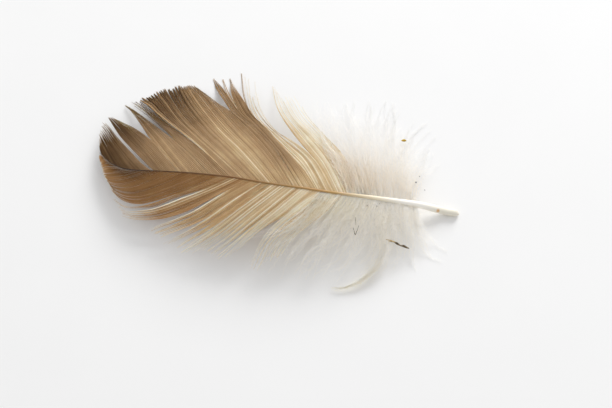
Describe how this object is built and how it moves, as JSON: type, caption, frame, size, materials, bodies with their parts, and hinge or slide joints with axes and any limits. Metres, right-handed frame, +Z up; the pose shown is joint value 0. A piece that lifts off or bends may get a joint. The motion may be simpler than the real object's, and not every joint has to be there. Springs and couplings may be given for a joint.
{
  "type": "feather",
  "caption": "Hen's body feather lying outer side up: an arched shaft, two barbed vanes parted into locks, loose down at the base and a scrap of chaff caught in it.",
  "frame": {"origin": "middle of the flat underside that the quill's end rests on", "axes": "+X along the shaft from the quill to the tip of the vane, +Z up, away from the surface it lies on"},
  "size_m": [0.1017, 0.0609, 0.0091],
  "materials": {
    "feather_keratin": "matt barbs, brown at the tip and cream to white at the base, with a glossy ivory quill",
    "dry_chaff": "dull dark brown plant scrap"
  },
  "bodies": {
    "root": {"feather": "feather_keratin", "chaff": "dry_chaff"}
  },
  "joints": []
}
